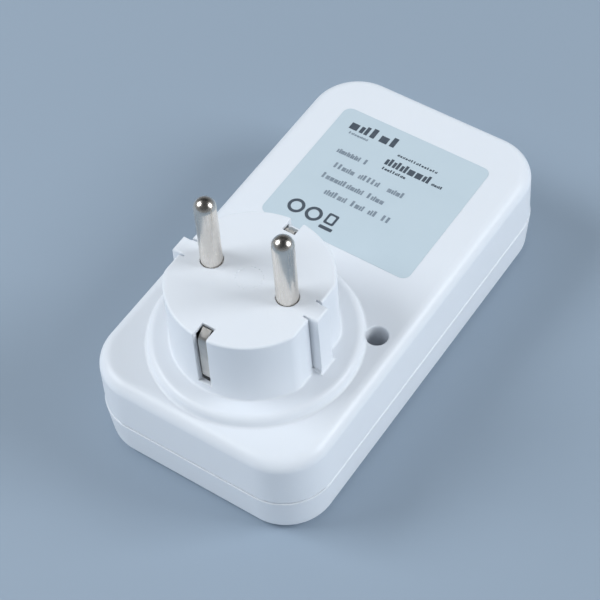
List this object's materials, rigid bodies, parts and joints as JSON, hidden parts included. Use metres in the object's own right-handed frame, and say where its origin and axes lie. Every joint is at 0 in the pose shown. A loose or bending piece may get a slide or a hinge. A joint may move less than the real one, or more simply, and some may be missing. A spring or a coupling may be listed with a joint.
{
  "type": "plug-in power meter",
  "caption": "Plug-in energy meter lying face down: round two-pin plug with side earth strips on the back, through socket, keys and display on the front.",
  "frame": {"origin": "on the front face's plane under the middle of the housing, with the meter lying face down", "axes": "+X along the line of the two pins, +Y along the housing from the plug towards the label end, +Z out of the back, the way the pins point"},
  "size_m": [0.0574, 0.105, 0.0643],
  "materials": {
    "housing_plastic": "satin moulded white",
    "shell_plastic": "satin moulded white",
    "socket_plastic": "satin moulded white",
    "shutter_plastic": "matt moulded",
    "steel": "zinc plated",
    "nickel": "nickel plated",
    "brass": "stamped sheet",
    "copper": "stamped sheet",
    "circuit_board": "solder resist",
    "black_plastic": "moulded black",
    "film_box": "moulded box",
    "can_sleeve": "shrunk sleeve",
    "varistor_coat": "dipped coating",
    "ceramic": "painted ceramic",
    "mat_rubber": "silicone",
    "key_plastic": "moulded grey",
    "clear_window": "clear acrylic",
    "display_glass": "reflective display",
    "zebra_rubber": "layered silicone",
    "label_film": "printed polyester",
    "wire_brown": "insulation",
    "wire_blue": "insulation"
  },
  "bodies": {
    "meter": {"rear_housing": "housing_plastic", "front_shell": "shell_plastic", "rear_label": "label_film", "socket_insert": "socket_plastic", "shutter_spring": "steel", "shutter_retainer": "shutter_plastic", "retainer_screw": "steel", "neutral_pin": "nickel", "live_pin": "nickel", "neutral_contact": "brass", "live_contact": "brass", "live_terminal": "brass", "earth_strip_near": "nickel", "earth_strip_far": "nickel", "earth_clip_near": "nickel", "earth_clip_far": "nickel", "earth_bridge": "brass", "wire_live_in": "wire_brown", "wire_live_out": "wire_brown", "wire_neutral": "wire_blue", "main_board": "circuit_board", "film_capacitor": "film_box", "round_capacitor": "can_sleeve", "varistor": "varistor_coat", "fuse_resistor": "ceramic", "metering_chip": "black_plastic", "shunt": "copper", "backup_battery": "steel", "board_header": "black_plastic", "display_board": "circuit_board", "display_chip": "black_plastic", "crystal": "steel", "lcd_frame": "black_plastic", "lcd_glass": "display_glass", "zebra_strip": "zebra_rubber", "lcd_window": "clear_window", "keypad_mat": "mat_rubber", "case_screw_1": "steel", "case_screw_2": "steel", "case_screw_3": "steel", "case_screw_4": "steel"},
    "shutter": {"shutter": "shutter_plastic"},
    "key_1": {"key_1": "key_plastic"},
    "key_2": {"key_2": "key_plastic"},
    "key_3": {"key_3": "key_plastic"},
    "key_4": {"key_4": "key_plastic"},
    "key_5": {"key_5": "key_plastic"}
  },
  "joints": [
    {"name": "shutter_turn", "type": "hinge", "parent": "meter", "child": "shutter", "pos_m": [0, -0.0255, 0.0204], "axis": [0, 0, 1], "range_deg": [0, 45], "stiffness_Nm_per_rad": 0.004, "springref_deg": -20.05},
    {"name": "key_1_press", "type": "slide", "parent": "meter", "child": "key_1", "axis": [0, 0, 1], "range_m": [0, 0.0006], "stiffness_N_per_m": 500, "springref_m": -0.0008},
    {"name": "key_2_press", "type": "slide", "parent": "meter", "child": "key_2", "axis": [0, 0, 1], "range_m": [0, 0.0006], "stiffness_N_per_m": 500, "springref_m": -0.0008},
    {"name": "key_3_press", "type": "slide", "parent": "meter", "child": "key_3", "axis": [0, 0, 1], "range_m": [0, 0.0006], "stiffness_N_per_m": 500, "springref_m": -0.0008},
    {"name": "key_4_press", "type": "slide", "parent": "meter", "child": "key_4", "axis": [0, 0, 1], "range_m": [0, 0.0006], "stiffness_N_per_m": 500, "springref_m": -0.0008},
    {"name": "key_5_press", "type": "slide", "parent": "meter", "child": "key_5", "axis": [0, 0, 1], "range_m": [0, 0.0006], "stiffness_N_per_m": 500, "springref_m": -0.0008}
  ]
}
